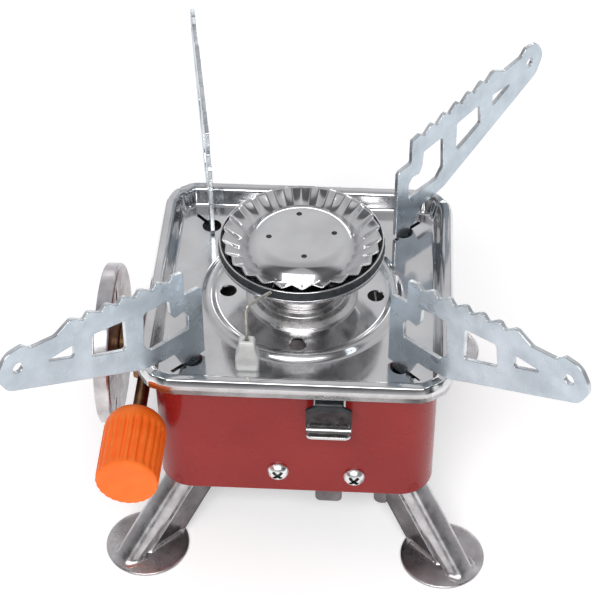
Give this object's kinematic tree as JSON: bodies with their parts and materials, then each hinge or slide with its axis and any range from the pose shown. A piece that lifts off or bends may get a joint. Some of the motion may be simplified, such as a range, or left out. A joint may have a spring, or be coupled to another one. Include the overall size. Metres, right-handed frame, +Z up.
{
  "type": "camping stove",
  "caption": "Folding gas camping stove with swinging pan supports, folding legs, a side canister plate, a gas knob and a press igniter.",
  "frame": {"origin": "on the ground, below the burner's axis, with the legs open", "axes": "+Z up along the burner's axis, -Y to the igniter at the front, -X to the canister plate"},
  "size_m": [0.1434, 0.1586, 0.1009],
  "materials": {
    "polished_steel": "polished",
    "red_paint": "gloss",
    "zinc_plate": "satin",
    "satin_steel": "satin",
    "dark_steel": "satin",
    "brass": "satin",
    "orange_plastic": "gloss",
    "black_plastic": "matte",
    "ceramic": "satin",
    "rubber": "matte",
    "nickel_wire": "satin",
    "bright_plate": "polished"
  },
  "bodies": {
    "stove_body": {"top_tray": "polished_steel", "body_shell": "red_paint", "burner_cup": "polished_steel", "burner_collar": "polished_steel", "flame_ring": "dark_steel", "ring_band": "polished_steel", "burner_cap": "polished_steel", "cap_spider": "satin_steel", "mixing_tube": "satin_steel", "lock_nut": "brass", "jet_block": "brass", "gas_jet": "brass", "valve_body": "brass", "gland_nut": "brass", "canister_plate": "satin_steel", "canister_seal": "rubber", "igniter_bracket": "satin_steel", "lever_pin": "satin_steel", "piezo_housing": "black_plastic", "plunger_spring": "nickel_wire", "front_screws": "bright_plate", "electrode_insulator": "ceramic", "electrode_wire": "nickel_wire", "ignition_lead": "rubber", "arm_bush_front_left": "brass", "corner_bracket_front_left": "satin_steel", "leg_pin_front_left": "satin_steel", "arm_bush_front_right": "brass", "corner_bracket_front_right": "satin_steel", "leg_pin_front_right": "satin_steel", "arm_bush_rear_right": "brass", "corner_bracket_rear_right": "satin_steel", "leg_pin_rear_right": "satin_steel", "arm_bush_rear_left": "brass", "corner_bracket_rear_left": "satin_steel", "leg_pin_rear_left": "satin_steel"},
    "pan_support_front_left": {"arm_front_left": "zinc_plate", "arm_pivot_front_left": "satin_steel"},
    "folding_leg_front_left": {"leg_front_left": "satin_steel"},
    "pan_support_front_right": {"arm_front_right": "zinc_plate", "arm_pivot_front_right": "satin_steel"},
    "folding_leg_front_right": {"leg_front_right": "satin_steel"},
    "pan_support_rear_right": {"arm_rear_right": "zinc_plate", "arm_pivot_rear_right": "satin_steel"},
    "folding_leg_rear_right": {"leg_rear_right": "satin_steel"},
    "pan_support_rear_left": {"arm_rear_left": "zinc_plate", "arm_pivot_rear_left": "satin_steel"},
    "folding_leg_rear_left": {"leg_rear_left": "satin_steel"},
    "gas_knob": {"control_knob": "orange_plastic", "valve_spindle": "brass"},
    "igniter_button": {"igniter_lever": "bright_plate"},
    "striker": {"piezo_plunger": "black_plastic"}
  },
  "joints": [
    {"name": "swing_front_left", "type": "hinge", "parent": "stove_body", "child": "pan_support_front_left", "pos_m": [-0.02815, -0.02815, 0.055], "axis": [0, 0, 1], "range_deg": [-133, 44]},
    {"name": "swing_front_right", "type": "hinge", "parent": "stove_body", "child": "pan_support_front_right", "pos_m": [0.02815, -0.02815, 0.055], "axis": [0, 0, 1], "range_deg": [-128.6, 41.4]},
    {"name": "swing_rear_right", "type": "hinge", "parent": "stove_body", "child": "pan_support_rear_right", "pos_m": [0.02815, 0.02815, 0.055], "axis": [0, 0, 1], "range_deg": [-139, 41]},
    {"name": "swing_rear_left", "type": "hinge", "parent": "stove_body", "child": "pan_support_rear_left", "pos_m": [-0.02815, 0.02815, 0.055], "axis": [0, 0, 1], "range_deg": [-100, 35]},
    {"name": "fold_front_left", "type": "hinge", "parent": "stove_body", "child": "folding_leg_front_left", "pos_m": [-0.02864, -0.02864, 0.025], "axis": [0.7071, -0.7071, 0], "range_deg": [0, 98]},
    {"name": "fold_front_right", "type": "hinge", "parent": "stove_body", "child": "folding_leg_front_right", "pos_m": [0.02864, -0.02864, 0.025], "axis": [0.7071, 0.7071, 0], "range_deg": [0, 98]},
    {"name": "fold_rear_right", "type": "hinge", "parent": "stove_body", "child": "folding_leg_rear_right", "pos_m": [0.02864, 0.02864, 0.025], "axis": [-0.7071, 0.7071, 0], "range_deg": [0, 98]},
    {"name": "fold_rear_left", "type": "hinge", "parent": "stove_body", "child": "folding_leg_rear_left", "pos_m": [-0.02864, 0.02864, 0.025], "axis": [-0.7071, -0.7071, 0], "range_deg": [0, 98]},
    {"name": "turn_knob", "type": "hinge", "parent": "stove_body", "child": "gas_knob", "pos_m": [-0.0432, -0.04, 0.0455], "axis": [0, -1, 0], "range_deg": [0, 450]},
    {"name": "press_igniter", "type": "hinge", "parent": "stove_body", "child": "igniter_button", "pos_m": [0.0095, -0.0205, 0.0465], "axis": [1, 0, 0], "range_deg": [0, 10], "stiffness_Nm_per_rad": 0.05, "springref_deg": -5.73},
    {"name": "push_striker", "type": "slide", "parent": "stove_body", "child": "striker", "axis": [0, 0, -1], "range_m": [0, 0.0022], "deforming": ["plunger_spring"]}
  ],
  "couplings": [
    {"joint": "push_striker", "follows": "press_igniter", "m_per_rad": 0.012}
  ]
}
